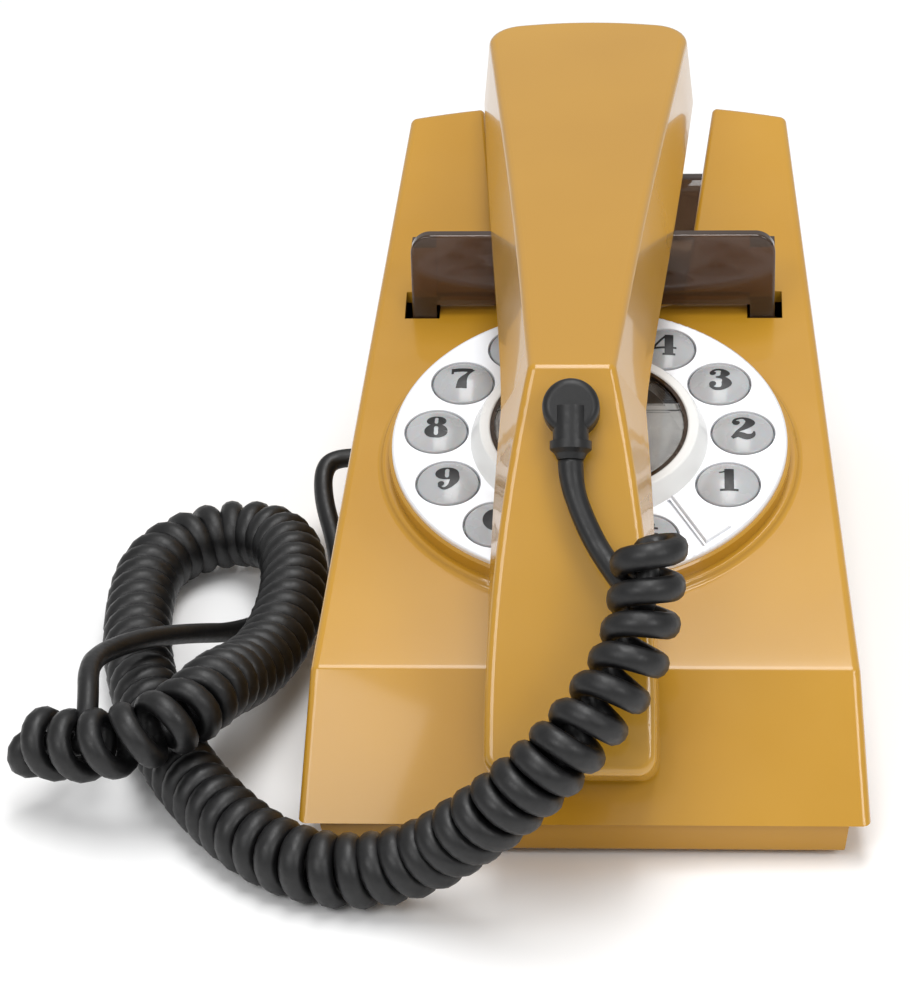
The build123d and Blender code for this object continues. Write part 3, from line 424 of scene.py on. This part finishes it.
LEAD_END = laid([
    (-99.6, -69.5, 25.6), (-101.0, -59.0, 26.6), (-99.6, -48.0, 23.6), (-92.6, -36.5, 20.4),
    (-84.6, -22.0, 13.2), (-77.0, -8.0, 5.2),
]) + [
    (-68.8, 0.5, 2.7), (-60.2, 8.6, 2.6), (-57.2, 17.5, 3.8), (-59.0, 27.0, 7.6),
    (-62.0, 35.5, 12.6), (-62.6, 42.6, 16.8), (-60.0, 46.0, 18.5), (-54.85, 46.0, 18.5),
]


def smooth_line(control):
    """Points of the smooth line that the control points (in metres) steer."""
    curve_data = bpy.data.curves.new("route", "CURVE")
    curve_data.dimensions = "3D"
    spline = curve_data.splines.new("NURBS")
    spline.points.add(len(control) - 1)
    for point, place in zip(spline.points, control):
        point.co = (*place, 1)
    spline.order_u = 3
    spline.use_endpoint_u = True
    spline.resolution_u = 12
    route = bpy.data.objects.new("route", curve_data)
    bpy.context.collection.objects.link(route)
    mesh = bpy.data.meshes.new_from_object(route)
    places = [v.co.copy() for v in mesh.vertices]
    bpy.data.objects.remove(route)
    bpy.data.meshes.remove(mesh)
    return places


def in_metres(points):
    return [Vector(p) * MM + TO_CENTRE for p in points]


class Spine:
    """The coil's centre line with a frame that doesn't twist, read by distance along it."""

    def __init__(self, places):
        self.places = places
        self.distances = [0.0]
        for a, b in zip(places, places[1:]):
            self.distances.append(self.distances[-1] + (b - a).length)
        self.length = self.distances[-1]
        self.tangents = []
        for index in range(len(places)):
            before = places[max(0, index - 1)]
            after = places[min(len(places) - 1, index + 1)]
            self.tangents.append((after - before).normalized())
        side = self.tangents[0].orthogonal().normalized()
        self.sides = [side]
        for a, b in zip(self.tangents, self.tangents[1:]):
            side = a.rotation_difference(b) @ side
            side = (side - b * side.dot(b)).normalized()
            self.sides.append(side)

    def at(self, distance):
        """Place, tangent and side vector at a distance from the start."""
        distance = min(max(distance, 0.0), self.length)
        low, high = 0, len(self.distances) - 2
        while low < high:
            middle = (low + high + 1) // 2
            if self.distances[middle] <= distance:
                low = middle
            else:
                high = middle - 1
        index = low
        run = self.distances[index + 1] - self.distances[index]
        part = (distance - self.distances[index]) / run
        place = self.places[index].lerp(self.places[index + 1], part)
        tangent = self.tangents[index].lerp(self.tangents[index + 1], part).normalized()
        side = self.sides[index].lerp(self.sides[index + 1], part)
        side = (side - tangent * side.dot(tangent)).normalized()
        return place, tangent, side

    def off_axis(self, distance, angle, radius):
        place, tangent, side = self.at(distance)
        other = tangent.cross(side)
        return place + (side * math.cos(angle) + other * math.sin(angle)) * radius


spine = Spine(smooth_line(in_metres(COIL)))
TIGHT_PITCH = 5.35 * MM
OPEN_PITCH = 7.0 * MM
OPEN_TOP = 34 * MM            # the turns near the handset are pulled apart over this length
OPEN_END = 26 * MM            # and so are the last ones
EASE = 14 * MM
ENTRY = 5 * MM                # how far the wire runs back inside the coil at either end


def ease(value):
    value = min(max(value, 0.0), 1.0)
    return value * value * (3 - 2 * value)


def pitch_at(distance):
    """Length of one turn along the spine."""
    top = 1 - ease((distance - OPEN_TOP) / EASE)
    end = ease((distance - (spine.length - OPEN_END - EASE)) / EASE)
    return TIGHT_PITCH + (OPEN_PITCH - TIGHT_PITCH) * max(top, end)


STEPS_PER_TURN = 18
FIRST_ANGLE = math.radians(200)
coil_line = []
coil_marks = []               # distance along the spine and share of the full widening, for each place
half_turn = STEPS_PER_TURN // 2
for step in range(half_turn):
    part = step / half_turn
    distance = ENTRY * (1 - part) ** 2
    angle = FIRST_ANGLE - math.pi * (1 - part)
    coil_line.append(spine.off_axis(distance, angle, TURN_RADIUS * ease(part)))
    coil_marks.append((distance, ease(part)))
angle, distance = FIRST_ANGLE, 0.0
while distance < spine.length:
    coil_line.append(spine.off_axis(distance, angle, TURN_RADIUS))
    coil_marks.append((distance, 1.0))
    angle += 2 * math.pi / STEPS_PER_TURN
    distance += pitch_at(distance) / STEPS_PER_TURN
for step in range(1, half_turn + 1):
    part = step / half_turn
    distance = spine.length - ENTRY * part**2
    coil_line.append(spine.off_axis(distance, angle, TURN_RADIUS * ease(1 - part)))
    coil_marks.append((distance, ease(1 - part)))
    angle += math.pi / half_turn

core_top = [spine.at(d * MM)[0] for d in (13.0, 9.0, 5.0)]
core_end = [spine.at(spine.length - d * MM)[0] for d in (5.0, 10.0, 15.0)]
top_lead = smooth_line(in_metres(LEAD_TOP[:-1]) + core_top)
end_lead = smooth_line(core_end + in_metres(LEAD_END))
wire_line = top_lead[:-1] + coil_line + end_lead[1:]


def tube_mesh(name, places, radius_at, widening_at, sides, material):
    """Tube along the places with a frame that doesn't twist, widened along widening_at's vectors."""
    run = Spine(places)
    points, faces = [], []
    for index, place in enumerate(places):
        side = run.sides[index]
        other = run.tangents[index].cross(side)
        radius = radius_at(run.distances[index])
        for k in range(sides):
            around = 2 * math.pi * k / sides
            offset = (side * math.cos(around) + other * math.sin(around)) * radius
            along = widening_at[index]
            points.append(place + offset + along * offset.dot(along))
        if index:
            first = (index - 1) * sides
            for k in range(sides):
                after = (k + 1) % sides
                faces.append((first + k, first + after, first + sides + after, first + sides + k))
    faces.append(tuple(range(sides))[::-1])
    faces.append(tuple(len(points) - sides + k for k in range(sides)))
    return mesh_object(name, points, faces, material), run.length


def wire_radius(distance):
    """The wire is a little thicker where it leaves the strain relief."""
    return WIRE / 2 * (1 + 0.16 * (1 - ease(distance / (9 * MM))))


def widenings():
    """One vector for each place of the wire: along the coil in its turns, none in the leads."""
    turns = []
    for distance, share in coil_marks:
        turns.append(spine.at(distance)[1] * math.sqrt(WIRE_WIDENING * share))
    none = Vector((0, 0, 0))
    return [none] * (len(top_lead) - 1) + turns + [none] * (len(end_lead) - 1)


cord, cord_length = tube_mesh("handset_cord", wire_line, wire_radius, widenings(), 12,
                              FINISHES["cord_rubber"])
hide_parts("cord_lead_top", "cord_coil_hanging", "cord_coil_floor", "cord_lead_end")
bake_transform(cord)

# ---------------------------------------------------------------- floor, light, camera
FLOOR_HALF = 3.0
floor = mesh_object("floor", [(-FLOOR_HALF, -FLOOR_HALF, 0), (FLOOR_HALF, -FLOOR_HALF, 0),
                              (FLOOR_HALF, FLOOR_HALF, 0),
                              (-FLOOR_HALF, FLOOR_HALF, 0)], [(0, 1, 2, 3)],
                    simple("pale_floor", srgb(246, 246, 246), srgb(250, 250, 250), 3, 0.6, 0.7, 300, 0.02))

world = bpy.data.worlds.new("studio")
bpy.context.scene.world = world
world.use_nodes = True
world.node_tree.nodes["Background"].inputs["Color"].default_value = (1, 1, 1, 1)
world.node_tree.nodes["Background"].inputs["Strength"].default_value = 0.5
bpy.context.scene.view_settings.view_transform = "Standard"


def softbox(name, place, target, width, height, watts):
    data = bpy.data.lights.new(name, "AREA")
    data.shape = "RECTANGLE"
    data.size = width
    data.size_y = height
    data.energy = watts
    light = bpy.data.objects.new(name, data)
    bpy.context.collection.objects.link(light)
    light.location = place
    light.rotation_euler = (Vector(target) - Vector(place)).to_track_quat("-Z", "Y").to_euler()


softbox("overhead", (0.05, 0.0, 1.1), (0, 0, 0.05), 1.0, 0.45, 8)
softbox("front_left", (-0.55, -0.95, 0.95), (0, 0, 0.04), 0.8, 0.5, 5)
softbox("front_right", (0.8, -0.85, 0.9), (0, 0, 0.04), 0.45, 0.5, 4)

camera_data = bpy.data.cameras.new("camera")
camera = bpy.data.objects.new("camera", camera_data)
bpy.context.collection.objects.link(camera)
bpy.context.scene.camera = camera
CAMERA_PLACE = Vector((18.17, -732.63, 420.41)) * MM + TO_CENTRE
YAW, PITCH, ROLL = 0.0652, 0.4867, -0.0294
FOCAL_PIXELS, LONG_SIDE = 3824.4, 1000
forward = Vector((-math.sin(YAW) * math.cos(PITCH), math.cos(YAW) * math.cos(PITCH), -math.sin(PITCH)))
level = Vector((math.cos(YAW), math.sin(YAW), 0))
upright = level.cross(forward)
right = level * math.cos(ROLL) + upright * math.sin(ROLL)
up = upright * math.cos(ROLL) - level * math.sin(ROLL)
camera.matrix_world = Matrix((
    (right.x, up.x, -forward.x, CAMERA_PLACE.x),
    (right.y, up.y, -forward.y, CAMERA_PLACE.y),
    (right.z, up.z, -forward.z, CAMERA_PLACE.z),
    (0, 0, 0, 1),
))
camera_data.sensor_width = 36
camera_data.lens = FOCAL_PIXELS * camera_data.sensor_width / LONG_SIDE
camera_data.clip_start = 0.01

bpy.context.view_layer.update()
